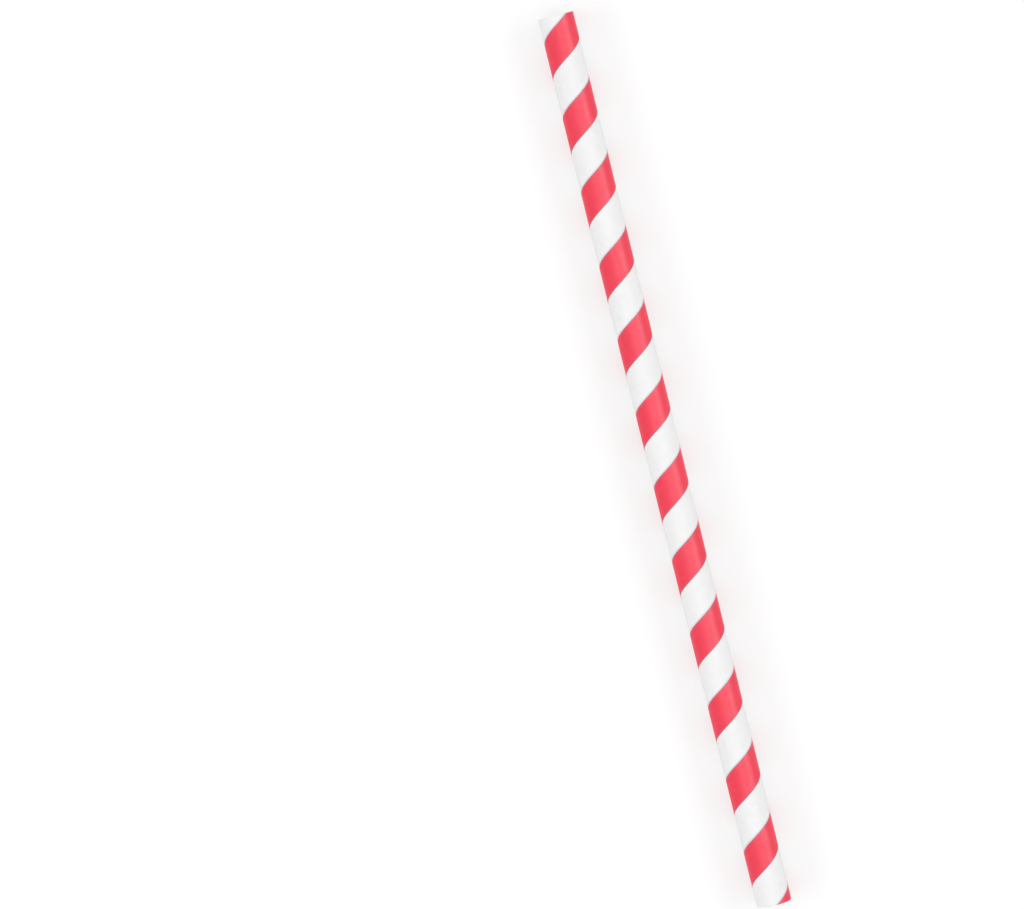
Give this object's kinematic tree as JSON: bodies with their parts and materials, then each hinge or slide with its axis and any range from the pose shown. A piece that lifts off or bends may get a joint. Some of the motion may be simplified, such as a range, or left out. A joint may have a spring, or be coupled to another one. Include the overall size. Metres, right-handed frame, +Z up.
{
  "type": "paper drinking straw",
  "caption": "Straight round drinking straw wound from paper, open at both square-cut ends, with a red spiral stripe on white.",
  "frame": {"origin": "on the surface that the straw lies on, under the middle of its length", "axes": "+X along the straw towards its drinking end, +Z up from the surface that it lies on"},
  "size_m": [0.197, 0.0076, 0.0077],
  "materials": {
    "printed_paper": "smooth coated white paper with a satin red printed stripe"
  },
  "bodies": {
    "root": {"straw": "printed_paper"}
  },
  "joints": []
}
